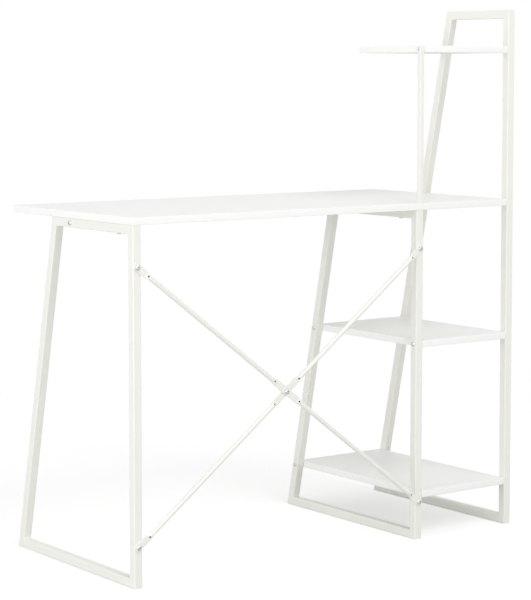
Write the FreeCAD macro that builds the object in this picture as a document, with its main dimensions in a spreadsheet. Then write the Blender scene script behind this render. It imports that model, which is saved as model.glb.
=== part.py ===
# A writing desk with a shelf tower at one end, built as a flat-pack maker builds it.
# Three closed frames of square steel tube carry four laminated boards, and two round
# tubes, pressed flat where they are bolted, cross behind the knee space.
# Millimetres, +Z up, +Y towards the wall, -Y towards the person who sits at the desk.
# The origin is on the floor, in the middle of the desk's own box.
import FreeCAD, Part
import math
import os
import Sketcher

doc = FreeCAD.newDocument("WritingDesk")
Vector = FreeCAD.Vector

# Driving dimensions: name, value, what it measures
SIZES = [
    ("overall_width", "1020", "outer face of the left frame to outer face of the tall frame"),
    ("overall_height", "1170", "floor to the top of the tall frame"),
    ("desk_height", "745", "floor to the top of the desktop"),
    ("desktop_depth", "475", "rear edge to front edge of the desktop"),
    ("foot_depth", "470", "rear face to front face of a frame at the floor"),
    ("low_top_reach", "312", "rear face to front face of a low frame at its top"),
    ("tall_top_reach", "209", "rear face to front face of the tall frame at its top"),
    ("bay_width", "248", "clear width between the middle frame and the tall frame"),
    ("tube_size", "19", "side of the square frame tube"),
    ("tube_wall", "1.5", "wall of the frame tube"),
    ("tube_corner", "2", "outer corner radius of the frame tube"),
    ("board", "15", "thickness of every board"),
    ("edge_band", "1", "thickness of the glued edge strips"),
    ("bottom_shelf_top", "107", "floor to the top of the bottom shelf"),
    ("middle_shelf_top", "442", "floor to the top of the middle shelf"),
    ("top_shelf_drop", "82", "top of the tall frame to the top of the top shelf"),
    ("rail_setback", "240", "rear face of the frames to the middle of the front rail"),
    ("rail_plug", "20", "length of the threaded plug in each end of the rail"),
    ("screw_setback", "65", "rear face of the frames to the desktop screw in a top bar"),
    ("rail_screw_inset", "150", "end of the rail to its desktop screw"),
    ("post_size", "11", "side of the square post under the top shelf"),
    ("post_wall", "1.2", "wall of the post"),
    ("post_corner", "1.5", "outer corner radius of the post"),
    ("post_cap", "1.5", "thickness of the cap on the post"),
    ("post_plug", "14", "depth of the plugs in the ends of the post"),
    ("post_pin_radius", "2.5", "radius of the pin under the post"),
    ("post_pin_depth", "11", "depth of that pin in the desktop, and in the plug"),
    ("post_head_radius", "4.5", "radius of the head of the screw through the post"),
    ("post_head_height", "2.6", "height of that head"),
    ("brace_radius", "5", "outer radius of the brace tube"),
    ("brace_wall", "1.2", "wall of the brace tube"),
    ("brace_inset", "65", "inner face of a top bar or foot bar to the brace bolt beside it"),
    ("lug_width", "15", "width of the brace where it is pressed flat"),
    ("shear_extra", "1", "radius of a brace's sheared end beyond half that width"),
    ("end_flat", "23", "end bolt of a brace to the end of its flat"),
    ("cross_flat", "32", "centre bolt of a brace to the end of its flat"),
    ("press_run", "15", "length over which the brace goes from flat to round"),
    ("slit_run", "4", "length of that run in which the two walls still touch"),
    ("slit_gap", "0.4", "height of the bore where the walls part"),
    ("vent_radius", "2", "radius of the drain holes in a brace"),
    ("end_vent", "31", "end bolt of a brace to the drain hole beside it"),
    ("cross_vent", "40", "centre bolt of a brace to the drain holes beside it"),
    ("bolt_radius", "3", "radius of the bolts' shanks"),
    ("head_radius", "5.5", "radius of a button head"),
    ("head_height", "3.3", "height of a button head"),
    ("head_taper", "1.8", "how far a button head draws in from its rim to its top"),
    ("socket_size", "4", "width across the flats of the key socket in a head"),
    ("socket_depth", "2", "depth of that socket"),
    ("bolt_tip", "1", "length of a bolt that shows past its nut"),
    ("screw_radius", "2.5", "radius of the long screws that hold the boards' ends"),
    ("screw_grip", "34", "depth of such a screw in the end of a board"),
    ("bore_spare", "1", "depth of a blind bore past the end of its screw"),
    ("thread_gap", "0.05", "radial gap between a shank and its thread or its pin's bore"),
    ("hole_gap", "0.25", "radial gap between a shank and a drilled hole"),
    ("insert_radius", "4.5", "radius of a threaded insert"),
    ("insert_length", "11", "length of a threaded insert in the desktop"),
    ("rivet_length", "12", "length of a rivet nut in a leg"),
    ("rivet_bulge_radius", "6.2", "radius of a rivet nut where it is squeezed behind the wall"),
    ("rivet_bulge", "3", "length of that bulge"),
    ("nut_height", "5", "height of the hexagon nut"),
    ("nut_size", "10", "width across the flats of that nut"),
    ("overrun", "1", "how far a cut runs past the face it starts from"),
]
sheet = doc.addObject("Spreadsheet::Sheet", "Sizes")
for row, (alias, value, note) in enumerate(SIZES, start=1):
    sheet.set(f"A{row}", alias)
    sheet.set(f"B{row}", value)
    sheet.setAlias(f"B{row}", alias)
    sheet.set(f"C{row}", note)
doc.recompute()


# Places that several pieces share, each worked out from the driving dimensions
LUG = "(2 * Sizes.brace_wall)"
BACK = f"((Sizes.desktop_depth - 2 * {LUG} - Sizes.head_height) / 2)"
HALF_TUBE = "(Sizes.tube_size / 2)"
LEFT_X = f"(Sizes.overall_width / 2 - {HALF_TUBE})"
TALL_X = f"(-{LEFT_X})"
MIDDLE_X = f"({TALL_X} + Sizes.tube_size + Sizes.bay_width)"
BAY_X = f"(({MIDDLE_X} + {TALL_X}) / 2)"
LOW_HEIGHT = "(Sizes.desk_height - Sizes.board)"
LEG_Y = f"(-{HALF_TUBE})"
LOW_BOLT = "(Sizes.tube_size + Sizes.brace_inset)"
HIGH_BOLT = f"({LOW_HEIGHT} - {LOW_BOLT})"
RAIL_Z = f"({LOW_HEIGHT} - {HALF_TUBE})"
POST_X = f"({MIDDLE_X} - {HALF_TUBE} + Sizes.post_size / 2)"
POST_Y = "(-Sizes.post_size / 2)"
BOLT_HOLE = "(Sizes.bolt_radius + Sizes.hole_gap)"
THREAD_HOLE = "(Sizes.bolt_radius + Sizes.thread_gap)"
SCREW_HOLE = "(Sizes.screw_radius + Sizes.hole_gap)"
SCREW_BORE = "(Sizes.screw_radius + Sizes.thread_gap)"
TOP_SHELF_TOP = "(Sizes.overall_height - Sizes.top_shelf_drop)"
BOARD_MIDDLES = {
    "bottom_shelf": "(Sizes.bottom_shelf_top - Sizes.board / 2)",
    "middle_shelf": "(Sizes.middle_shelf_top - Sizes.board / 2)",
    "desktop": "(Sizes.desk_height - Sizes.board / 2)",
    "top_shelf": f"({TOP_SHELF_TOP} - Sizes.board / 2)",
}


class FrameShape:
    """The side view of one frame: upright at the back, leaning leg at the front."""

    def __init__(self, centre_x, height, top_reach):
        self.centre_x = centre_x
        self.height = height
        self.lean = f"((Sizes.foot_depth - {top_reach}) / {height})"
        self.stretch = f"sqrt(1 + {self.lean} * {self.lean})"

    def front(self, inset, z):
        """Distance behind the rear face of a line inside the leaning face, at height z."""
        return f"(-Sizes.foot_depth + {self.lean} * {z} + {inset} * {self.stretch})"

    def corner(self, place, inset):
        """A corner of the frame's outline after it is drawn in by inset on all sides."""
        low = f"({inset})"
        high = f"({self.height} - {inset})"
        places = {
            "back_foot": (f"(-({inset}))", low),
            "back_top": (f"(-({inset}))", high),
            "front_top": (self.front(f"({inset})", high), high),
            "front_foot": (self.front(f"({inset})", low), low),
        }
        return places[place]


LOW_LEFT = FrameShape(LEFT_X, LOW_HEIGHT, "Sizes.low_top_reach")
LOW_MIDDLE = FrameShape(MIDDLE_X, LOW_HEIGHT, "Sizes.low_top_reach")
TALL = FrameShape(TALL_X, "Sizes.overall_height", "Sizes.tall_top_reach")


# Sketches and features
def new_body(label):
    """A body that is one sub-part, under its own name."""
    body = doc.addObject("PartDesign::Body", label)
    body.Label = label
    return body


def place(item, x, y, z):
    """Ties an object's place to the sheet."""
    for axis, value in zip("xyz", (x, y, z)):
        item.setExpression(f"Placement.Base.{axis}", value)


def new_sketch(body, name, role, offset="0"):
    """An empty sketch on one of the body's own origin planes, moved along its normal."""
    plane = next(item for item in body.Origin.OriginFeatures if item.Role == role)
    sketch = body.newObject("Sketcher::SketchObject", name)
    sketch.AttachmentSupport = [(plane, "")]
    sketch.MapMode = "FlatFace"
    sketch.setExpression("AttachmentOffset.Base.z", offset)
    return sketch


def number(expression):
    """The present value of an expression, from which a sketch is first drawn."""
    return float(sheet.evalExpression(expression))


def hold(sketch, value, *constraint):
    """Adds a dimension to a sketch and ties it to the sheet."""
    index = sketch.addConstraint(Sketcher.Constraint(*constraint, number(value)))
    sketch.setExpression(f"Constraints[{index}]", value)


def hold_point(sketch, edge, end, x, y):
    """Ties one point of a sketch to the sketch's origin."""
    hold(sketch, x, "DistanceX", -1, 1, edge, end)
    hold(sketch, y, "DistanceY", -1, 1, edge, end)


def polygon(sketch, corners):
    """A closed outline through the given corners."""
    count = len(corners)
    first = sketch.GeometryCount
    start = [Vector(number(x), number(y), 0) for x, y in corners]
    for index in range(count):
        sketch.addGeometry(Part.LineSegment(start[index], start[(index + 1) % count]), False)
    for index, (x, y) in enumerate(corners):
        following = first + (index + 1) % count
        sketch.addConstraint(Sketcher.Constraint("Coincident", first + index, 2, following, 1))
        hold_point(sketch, first + index, 1, x, y)
    return sketch


def rectangle(sketch, x_low, x_high, y_low, y_high):
    """A rectangle between two pairs of lines."""
    return polygon(sketch, [(x_low, y_low), (x_high, y_low), (x_high, y_high), (x_low, y_high)])


def square(sketch, side):
    """A square about the sketch's origin."""
    half = f"({side} / 2)"
    return rectangle(sketch, f"-{half}", half, f"-{half}", half)


def circles(sketch, radius, centres):
    """Circles of one radius about the given centres."""
    for x, y in centres:
        centre = Vector(number(x), number(y), 0)
        edge = sketch.addGeometry(Part.Circle(centre, Vector(0, 0, 1), number(radius)), False)
        hold_point(sketch, edge, 3, x, y)
        hold(sketch, radius, "Radius", edge)
    return sketch


def quartered_circle(sketch, radius):
    """A circle about the sketch's origin in four arcs, one for each edge of a flat oval."""
    corner = f"({radius} * sqrt(2) / 2)"
    quarter = math.pi / 2
    ends = (("DistanceX", "", "-"), ("DistanceY", "", "-"), ("DistanceX", "-", ""), ("DistanceY", "-", ""))
    for index, (direction, first, second) in enumerate(ends):
        start = quarter / 2 + index * quarter
        ring = Part.Circle(Vector(), Vector(0, 0, 1), number(radius))
        sketch.addGeometry(Part.ArcOfCircle(ring, start, start + quarter), False)
        hold_point(sketch, index, 3, "0", "0")
        hold(sketch, radius, "Radius", index)
        hold(sketch, f"{first}{corner}", direction, -1, 1, index, 1)
        hold(sketch, f"{second}{corner}", direction, -1, 1, index, 2)
    return sketch


def flat_oval(sketch, width, thickness, middle):
    """A tube's section after pressing: two straight walls with a half circle at each end."""
    side = f"({width} / 2 - {thickness} / 2)"
    radius = f"({thickness} / 2)"
    centre = number(middle)
    reach = number(side)
    half = number(radius)
    up = Vector(0, 0, 1)
    upper = Part.Circle(Vector(centre, reach, 0), up, half)
    lower = Part.Circle(Vector(centre, -reach, 0), up, half)
    near_wall = Part.LineSegment(Vector(centre - half, reach, 0), Vector(centre - half, -reach, 0))
    far_wall = Part.LineSegment(Vector(centre + half, -reach, 0), Vector(centre + half, reach, 0))
    sketch.addGeometry(Part.ArcOfCircle(upper, 0, math.pi), False)
    sketch.addGeometry(near_wall, False)
    sketch.addGeometry(Part.ArcOfCircle(lower, math.pi, 2 * math.pi), False)
    sketch.addGeometry(far_wall, False)
    for edge, following in ((0, 1), (1, 2), (2, 3), (3, 0)):
        sketch.addConstraint(Sketcher.Constraint("Coincident", edge, 2, following, 1))
    for edge, height in ((0, side), (2, f"-{side}")):
        hold_point(sketch, edge, 3, middle, height)
        hold(sketch, radius, "Radius", edge)
        for end in (1, 2):
            hold(sketch, height, "DistanceY", -1, 1, edge, end)
    return sketch


def outside_half_round(sketch, centre, radius, reach):
    """What shears cut away round a half circle: all between it and a frame that stands clear of it."""
    side = f"({radius} + Sizes.overrun)"
    corners = [(centre, radius), (centre, side), (reach, side), (reach, f"-{side}"), (centre, f"-{side}"),
               (centre, f"-{radius}")]
    points = [Vector(number(x), number(y), 0) for x, y in corners]
    for start, end in zip(points, points[1:]):
        sketch.addGeometry(Part.LineSegment(start, end), False)
    middle = Part.Circle(Vector(number(centre), 0, 0), Vector(0, 0, 1), number(radius))
    sketch.addGeometry(Part.ArcOfCircle(middle, -math.pi / 2, math.pi / 2), False)
    arc = len(points) - 1
    for edge in range(1, arc):
        sketch.addConstraint(Sketcher.Constraint("Coincident", edge - 1, 2, edge, 1))
        hold_point(sketch, edge, 1, *corners[edge])
    for edge in (0, arc - 1):
        sketch.addConstraint(Sketcher.Constraint("Vertical", edge))
    hold_point(sketch, arc, 3, centre, "0")
    hold(sketch, radius, "Radius", arc)
    sketch.addConstraint(Sketcher.Constraint("Coincident", arc - 1, 2, arc, 1))
    sketch.addConstraint(Sketcher.Constraint("Coincident", arc, 2, 0, 1))
    return sketch


def pad(body, sketch, length, both_ways=False, reverse=False):
    """Thickens a sketch into a solid."""
    feature = body.newObject("PartDesign::Pad", "Pad")
    feature.Profile = sketch
    feature.setExpression("Length", length)
    feature.Midplane = both_ways
    feature.Reversed = reverse
    return feature


def pocket(body, sketch, depth=None, both_ways=False, reverse=False):
    """Cuts a sketch out of the solid, right through unless a depth is given."""
    feature = body.newObject("PartDesign::Pocket", "Pocket")
    feature.Profile = sketch
    if depth is None:
        feature.Type = "ThroughAll"
    else:
        feature.setExpression("Length", depth)
    feature.Midplane = both_ways
    feature.Reversed = reverse
    return feature


def loft(body, kind, first, second):
    """A straight transition between two sections, added or cut away."""
    feature = body.newObject(f"PartDesign::{kind}Loft", f"{kind}Loft")
    feature.Profile = first
    feature.Sections = [second]
    feature.Ruled = True
    return feature


def revolution(body, sketch):
    """Turns a half profile round its sketch's upright axis."""
    feature = body.newObject("PartDesign::Revolution", "Revolution")
    feature.Profile = sketch
    feature.ReferenceAxis = (sketch, ["V_Axis"])
    return feature


def round_corners(body, bar, radius):
    """Rounds the four edges that run along a square bar, which are its four longest."""
    doc.recompute()
    lengths = [edge.Length for edge in bar.Shape.Edges]
    longest = sorted(range(len(lengths)), key=lambda index: -lengths[index])[:4]
    feature = body.newObject("PartDesign::Fillet", "RoundedCorners")
    feature.Base = (bar, [f"Edge{index + 1}" for index in sorted(longest)])
    feature.setExpression("Radius", radius)
    return feature


# Frames: each is four lengths of square tube, mitred and welded into a closed ring
def frame_tube(label, shape, start, end):
    """One mitred length of a frame, from corner to corner, with its bore left open."""
    body = new_body(label)
    wall = "Sizes.tube_wall"
    inner_wall = "Sizes.tube_size - Sizes.tube_wall"
    outer = polygon(
        new_sketch(body, "SideView", "YZ_Plane"),
        [shape.corner(start, "0"), shape.corner(end, "0"),
         shape.corner(end, "Sizes.tube_size"), shape.corner(start, "Sizes.tube_size")],
    )
    bar = pad(body, outer, "Sizes.tube_size", both_ways=True)
    round_corners(body, bar, "Sizes.tube_corner")
    bore = polygon(
        new_sketch(body, "Bore", "YZ_Plane"),
        [shape.corner(start, wall), shape.corner(end, wall),
         shape.corner(end, f"({inner_wall})"), shape.corner(start, f"({inner_wall})")],
    )
    pocket(body, bore, "Sizes.tube_size - 2 * Sizes.tube_wall", both_ways=True)
    place(body, shape.centre_x, BACK, "0")
    return body


def side_holes(body, radius, centres):
    """Holes through both side walls of a tube."""
    pocket(body, circles(new_sketch(body, "SideHoles", "YZ_Plane"), radius, centres), both_ways=True)


def upright_holes(body, centres):
    """Holes through the top and bottom walls of a tube."""
    pocket(body, circles(new_sketch(body, "UprightHoles", "XY_Plane"), BOLT_HOLE, centres), both_ways=True)


def rear_holes(body, heights):
    """Holes for rivet nuts in the rear wall of a leg."""
    sketch = new_sketch(body, "RearHoles", "XZ_Plane", HALF_TUBE)
    radius = "Sizes.insert_radius + Sizes.thread_gap"
    pocket(body, circles(sketch, radius, [("0", height) for height in heights]))


def leg_seats(shape, boards):
    """Where the boards' screws cross the upright leg and the leaning leg, in side view."""
    back = [(LEG_Y, BOARD_MIDDLES[board]) for board in boards]
    front = [(shape.front(HALF_TUBE, BOARD_MIDDLES[board]), BOARD_MIDDLES[board]) for board in boards]
    return back, front


for frame_name, shape, boards in (
    ("left_frame", LOW_LEFT, []),
    ("middle_frame", LOW_MIDDLE, ["bottom_shelf", "middle_shelf"]),
    ("tall_frame", TALL, ["bottom_shelf", "middle_shelf", "desktop", "top_shelf"]),
):
    back_leg = frame_tube(f"{frame_name}_back_leg", shape, "back_foot", "back_top")
    top_bar = frame_tube(f"{frame_name}_top_bar", shape, "back_top", "front_top")
    front_leg = frame_tube(f"{frame_name}_front_leg", shape, "front_top", "front_foot")
    frame_tube(f"{frame_name}_foot_bar", shape, "front_foot", "back_foot")
    if boards:
        back_seats, front_seats = leg_seats(shape, boards)
        side_holes(back_leg, SCREW_HOLE, back_seats)
        side_holes(front_leg, SCREW_HOLE, front_seats)
    if shape is not TALL:
        rear_holes(back_leg, [LOW_BOLT, HIGH_BOLT])
        side_holes(top_bar, BOLT_HOLE, [("-Sizes.rail_setback", RAIL_Z)])
        upright_holes(top_bar, [("0", "-Sizes.screw_setback")])

# Front rail: the same tube laid across under the desktop, between the two low frames
RAIL_LENGTH = f"({LEFT_X} - {MIDDLE_X} - Sizes.tube_size)"
RAIL_X = f"(({LEFT_X} + {MIDDLE_X}) / 2)"
RAIL_Y = f"({BACK} - Sizes.rail_setback)"
RAIL_SCREW = f"({RAIL_LENGTH} / 2 - Sizes.rail_screw_inset)"
RAIL_SCREWS = [f"(-{RAIL_SCREW})", RAIL_SCREW]
TUBE_BORE = "(Sizes.tube_size - 2 * Sizes.tube_wall)"
rail = new_body("front_rail")
rail_section = square(new_sketch(rail, "Section", "YZ_Plane"), "Sizes.tube_size")
rail_bar = pad(rail, rail_section, RAIL_LENGTH, both_ways=True)
round_corners(rail, rail_bar, "Sizes.tube_corner")
pocket(rail, square(new_sketch(rail, "Bore", "YZ_Plane"), TUBE_BORE), both_ways=True)
upright_holes(rail, [(x, "0") for x in RAIL_SCREWS])
place(rail, RAIL_X, RAIL_Y, RAIL_Z)


# Boards: laminated chipboard, with an edge strip glued round all four sides
def board(label, x, length, depth, underside, ends, anchors=(), pin=None):
    """A board inside its edge strips, with the bores for its screws and inserts.

    Its own origin is at the middle of its rear edge, on its underside. An end is a sign,
    -1 or 1, with the places of its screws along Y.
    """
    body = new_body(label)
    half = f"({length} / 2)"
    outline = new_sketch(body, "Outline", "XY_Plane")
    rectangle(outline, f"-({half} - Sizes.edge_band)", f"{half} - Sizes.edge_band",
              f"-({depth} - Sizes.edge_band)", "-Sizes.edge_band")
    pad(body, outline, "Sizes.board")
    for sign, distances in ends:
        screws = new_sketch(body, "EndBores", "YZ_Plane", f"{sign} * {half}")
        circles(screws, SCREW_BORE, [(y, "Sizes.board / 2") for y in distances])
        pocket(body, screws, "Sizes.screw_grip + Sizes.bore_spare", reverse=sign < 0)
    if anchors:
        inserts = new_sketch(body, "InsertBores", "XY_Plane")
        circles(inserts, "Sizes.insert_radius + Sizes.thread_gap", anchors)
        pocket(body, inserts, "Sizes.insert_length + Sizes.bore_spare", reverse=True)
    if pin:
        pin_bore = new_sketch(body, "PinBore", "XY_Plane", "Sizes.board")
        circles(pin_bore, "Sizes.post_pin_radius + Sizes.thread_gap", [pin])
        pocket(body, pin_bore, "Sizes.post_pin_depth")
    place(body, x, BACK, underside)
    return body


def strip(name, x, y, z, length, width):
    """One glued edge strip, as high as the board."""
    box = doc.addObject("Part::Box", name)
    box.setExpression("Length", length)
    box.setExpression("Width", width)
    box.setExpression("Height", "Sizes.board")
    place(box, x, y, z)
    return box


def edge_band(label, x, length, depth, underside, holes):
    """Four strips round a board: the long ones cover the ends of the short ones."""
    band = "Sizes.edge_band"
    half = f"({length} / 2)"
    short = f"({depth} - 2 * {band})"
    front_end = f"{BACK} - {band} - {short}"
    strips = [
        strip(f"{label}_rear", f"{x} - {half}", f"{BACK} - {band}", underside, length, band),
        strip(f"{label}_front", f"{x} - {half}", f"{BACK} - {depth}", underside, length, band),
        strip(f"{label}_right", f"{x} - {half}", front_end, underside, band, short),
        strip(f"{label}_left", f"{x} + {half} - {band}", front_end, underside, band, short),
    ]
    ring = doc.addObject("Part::Compound", f"{label}_strips")
    ring.Links = strips
    drills = []
    for sign, distances in holes:
        for y in distances:
            drill = doc.addObject("Part::Cylinder", f"{label}_drill")
            drill.Placement = FreeCAD.Placement(Vector(), FreeCAD.Rotation(Vector(0, 1, 0), 90))
            drill.setExpression("Radius", SCREW_BORE)
            drill.setExpression("Height", f"2 * {band} + 2 * Sizes.overrun")
            start = f"{x} + {sign} * {half} - {band} - Sizes.overrun"
            place(drill, start, f"{BACK} + {y}", f"{underside} + Sizes.board / 2")
            drills.append(drill)
    drill_set = doc.addObject("Part::Compound", f"{label}_drills")
    drill_set.Links = drills
    cut = doc.addObject("Part::Cut", label)
    cut.Label = label
    cut.Base = ring
    cut.Tool = drill_set
    return cut


def screw_places(shape, name):
    """Places along Y of a board's two screws at one frame, from the board's rear edge."""
    return [LEG_Y, shape.front(HALF_TUBE, BOARD_MIDDLES[name])]


DESKTOP_LENGTH = "(Sizes.overall_width - Sizes.tube_size)"
DESKTOP_X = f"({HALF_TUBE})"
ANCHORS = [
    (f"({LEFT_X} - {DESKTOP_X})", "-Sizes.screw_setback"),
    (f"({MIDDLE_X} - {DESKTOP_X})", "-Sizes.screw_setback"),
] + [(f"({RAIL_X} + {x} - {DESKTOP_X})", "-Sizes.rail_setback") for x in RAIL_SCREWS]
BOARDS = {
    "desktop": (DESKTOP_X, DESKTOP_LENGTH, "Sizes.desktop_depth"),
    "bottom_shelf": (BAY_X, "Sizes.bay_width", f"(-{TALL.front('0', 'Sizes.bottom_shelf_top')})"),
    "middle_shelf": (BAY_X, "Sizes.bay_width", f"(-{TALL.front('0', 'Sizes.middle_shelf_top')})"),
    "top_shelf": (BAY_X, "Sizes.bay_width", f"(-{TALL.front('0', TOP_SHELF_TOP)})"),
}
for name, (x, length, depth) in BOARDS.items():
    underside = f"({BOARD_MIDDLES[name]} - Sizes.board / 2)"
    ends = [(-1, screw_places(TALL, name))]
    if name in ("bottom_shelf", "middle_shelf"):
        ends.append((1, screw_places(LOW_MIDDLE, name)))
    if name == "top_shelf":
        ends.append((1, [POST_Y]))
    if name == "desktop":
        pin = (f"({POST_X} - {DESKTOP_X})", POST_Y)
        board(name, x, length, depth, underside, ends, ANCHORS, pin)
    else:
        board(name, x, length, depth, underside, ends)
    edge_band(f"{name}_edge_band", x, length, depth, underside, ends)

# Post: a thin square tube that stands on the desktop and holds the top shelf's free end
POST_HEIGHT = f"({TOP_SHELF_TOP} - Sizes.desk_height - Sizes.post_cap)"
POST_BORE = "(Sizes.post_size - 2 * Sizes.post_wall)"
POST_SCREW_Z = f"({BOARD_MIDDLES['top_shelf']} - Sizes.desk_height)"

post = new_body("shelf_post")
post_bar = pad(post, square(new_sketch(post, "Section", "XY_Plane"), "Sizes.post_size"), POST_HEIGHT)
round_corners(post, post_bar, "Sizes.post_corner")
pocket(post, square(new_sketch(post, "Bore", "XY_Plane"), POST_BORE), both_ways=True)
screw_holes = circles(new_sketch(post, "ScrewHoles", "YZ_Plane"), SCREW_HOLE, [("0", POST_SCREW_Z)])
pocket(post, screw_holes, both_ways=True)
place(post, POST_X, f"{BACK} + {POST_Y}", "Sizes.desk_height")

foot_plug = new_body("post_foot_plug")
pad(foot_plug, square(new_sketch(foot_plug, "Section", "XY_Plane"), POST_BORE), "Sizes.post_plug")
pin_bore = new_sketch(foot_plug, "PinBore", "XY_Plane")
circles(pin_bore, "Sizes.post_pin_radius + Sizes.thread_gap", [("0", "0")])
pocket(foot_plug, pin_bore, "Sizes.post_pin_depth", reverse=True)
place(foot_plug, POST_X, f"{BACK} + {POST_Y}", "Sizes.desk_height")

cap = new_body("post_cap")
pad(cap, square(new_sketch(cap, "Cap", "XY_Plane"), "Sizes.post_size"), "Sizes.post_cap")
pad(cap, square(new_sketch(cap, "Plug", "XY_Plane"), POST_BORE), "Sizes.post_plug", reverse=True)
cap_bore = new_sketch(cap, "ScrewBore", "YZ_Plane")
circles(cap_bore, SCREW_HOLE, [("0", f"{POST_SCREW_Z} - {POST_HEIGHT}")])
pocket(cap, cap_bore, both_ways=True)
place(cap, POST_X, f"{BACK} + {POST_Y}", f"Sizes.desk_height + {POST_HEIGHT}")

pin_piece = new_body("post_foot_pin")
pin_section = new_sketch(pin_piece, "Section", "XY_Plane")
circles(pin_section, "Sizes.post_pin_radius", [("0", "0")])
pad(pin_piece, pin_section, "2 * Sizes.post_pin_depth", both_ways=True)
place(pin_piece, POST_X, f"{BACK} + {POST_Y}", "Sizes.desk_height")


# Braces: round tube pressed flat at both ends and in the middle, where the two cross
BRACE_RUN = f"({LEFT_X} - {MIDDLE_X})"
BRACE_RISE = f"({HIGH_BOLT} - {LOW_BOLT})"
HALF_BRACE = f"(sqrt({BRACE_RUN} * {BRACE_RUN} + {BRACE_RISE} * {BRACE_RISE}) / 2)"


def brace(label, tilt, middle_side):
    """A pressed tube whose wall keeps its girth: the wider it is, the flatter it is.

    The tube lies along X with its middle at the origin. Its end flats touch the legs, on
    the -Y side of the tube's axis plane. The middle flat lies on the side middle_side of
    that plane, so that the two braces' middle flats touch face to face. Both ends are
    sheared to a half round about their bolts.
    """
    body = new_body(label)
    bore_radius = "(Sizes.brace_radius - Sizes.brace_wall)"
    bore_width = f"(Sizes.lug_width - {LUG})"

    def pressed(name, station, side):
        middle = f"{side} * {LUG} / 2"
        return flat_oval(new_sketch(body, name, "YZ_Plane", station), "Sizes.lug_width", LUG, middle)

    def slit(name, station, side):
        high_y, low_y = (f"({side} * {LUG} / 2 {sign} Sizes.slit_gap / 2)" for sign in "+-")
        high_z, low_z = (f"{sign}{bore_width} / 2" for sign in ("", "-"))
        corners = [(high_y, high_z), (low_y, high_z), (low_y, low_z), (high_y, low_z)]
        return polygon(new_sketch(body, name, "YZ_Plane", station), corners)

    def round_section(name, station, radius):
        return quartered_circle(new_sketch(body, name, "YZ_Plane", station), radius)

    round_start = "(Sizes.cross_flat + Sizes.press_run)"
    round_end = f"({HALF_BRACE} - Sizes.end_flat - Sizes.press_run)"
    cross = pressed("CrossFlat", "0", middle_side)
    cross_edge = pressed("CrossFlatEdge", "Sizes.cross_flat", middle_side)
    tube_start = round_section("TubeStart", round_start, "Sizes.brace_radius")
    tube_end = round_section("TubeEnd", round_end, "Sizes.brace_radius")
    end_edge = pressed("EndFlatEdge", f"{HALF_BRACE} - Sizes.end_flat", -1)
    end_radius = "(Sizes.lug_width / 2 + Sizes.shear_extra)"
    end_length = f"({end_radius} + Sizes.overrun)"

    added = [
        pad(body, cross, "Sizes.cross_flat"),
        loft(body, "Additive", cross_edge, tube_start),
        pad(body, tube_start, f"{round_end} - {round_start}"),
        loft(body, "Additive", tube_end, end_edge),
        pad(body, end_edge, f"Sizes.end_flat + {end_length}"),
    ]

    slit_start = slit("CrossSlit", "Sizes.cross_flat + Sizes.slit_run", middle_side)
    bore_start = round_section("BoreStart", round_start, bore_radius)
    bore_end = round_section("BoreEnd", round_end, bore_radius)
    slit_end = slit("EndSlit", f"{HALF_BRACE} - Sizes.end_flat - Sizes.slit_run", -1)
    vents = new_sketch(body, "DrainHoles", "XZ_Plane")
    circles(vents, "Sizes.vent_radius", [("Sizes.cross_vent", "0"), (f"{HALF_BRACE} - Sizes.end_vent", "0")])
    end_bolt = circles(new_sketch(body, "EndBolt", "XZ_Plane"), BOLT_HOLE, [(HALF_BRACE, "0")])
    shears = new_sketch(body, "EndShears", "XZ_Plane")
    outside_half_round(shears, HALF_BRACE, end_radius, f"({HALF_BRACE} + {end_length} + Sizes.overrun)")
    cut = [
        loft(body, "Subtractive", slit_start, bore_start),
        loft(body, "Subtractive", slit_end, bore_end),
        pocket(body, bore_start, f"{round_end} - {round_start}", reverse=True),
        pocket(body, vents),
        pocket(body, end_bolt, both_ways=True),
        pocket(body, shears, both_ways=True),
    ]
    both_halves = body.newObject("PartDesign::Mirrored", "BothHalves")
    both_halves.Originals = added + cut
    mirror = next(item for item in body.Origin.OriginFeatures if item.Role == "YZ_Plane")
    both_halves.MirrorPlane = (mirror, [""])
    body.Tip = both_halves
    centre_bolt = circles(new_sketch(body, "CentreBolt", "XZ_Plane"), BOLT_HOLE, [("0", "0")])
    pocket(body, centre_bolt, both_ways=True)
    slope = math.degrees(math.atan2(number(BRACE_RISE), number(BRACE_RUN)))
    body.Placement = FreeCAD.Placement(Vector(), FreeCAD.Rotation(Vector(0, tilt, 0), slope))
    body.setExpression("Placement.Rotation.Angle", f"atan({BRACE_RISE} / {BRACE_RUN})")
    place(body, RAIL_X, f"{BACK} + {LUG}", f"({LOW_BOLT} + {HIGH_BOLT}) / 2")
    return body


brace("outer_brace", -1, 1)
brace("inner_brace", 1, -1)


# Fasteners: one master of each kind, set down by links wherever it is used
def hexagon(sketch, width):
    """A regular hexagon about the sketch's origin, given by its width across flats."""
    side = f"({width} / sqrt(3))"
    half = f"({width} / 2)"
    corners = [
        (side, "0"), (f"{side} / 2", half), (f"-{side} / 2", half),
        (f"-{side}", "0"), (f"-{side} / 2", f"-{half}"), (f"{side} / 2", f"-{half}"),
    ]
    return polygon(sketch, corners)


def bolt(label, length, radius="Sizes.bolt_radius", head="Sizes.head_radius",
         height="Sizes.head_height"):
    """A button-head bolt along Z: the head stands on the origin and the shank points down."""
    body = new_body(label)
    profile = new_sketch(body, "HalfProfile", "XZ_Plane")
    polygon(profile, [("0", f"-{length}"), (radius, f"-{length}"), (radius, "0"), (head, "0"),
                      (f"{head} - Sizes.head_taper", height), ("0", height)])
    revolution(body, profile)
    socket = hexagon(new_sketch(body, "KeySocket", "XY_Plane", height), "Sizes.socket_size")
    pocket(body, socket, "Sizes.socket_depth")
    return body


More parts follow.
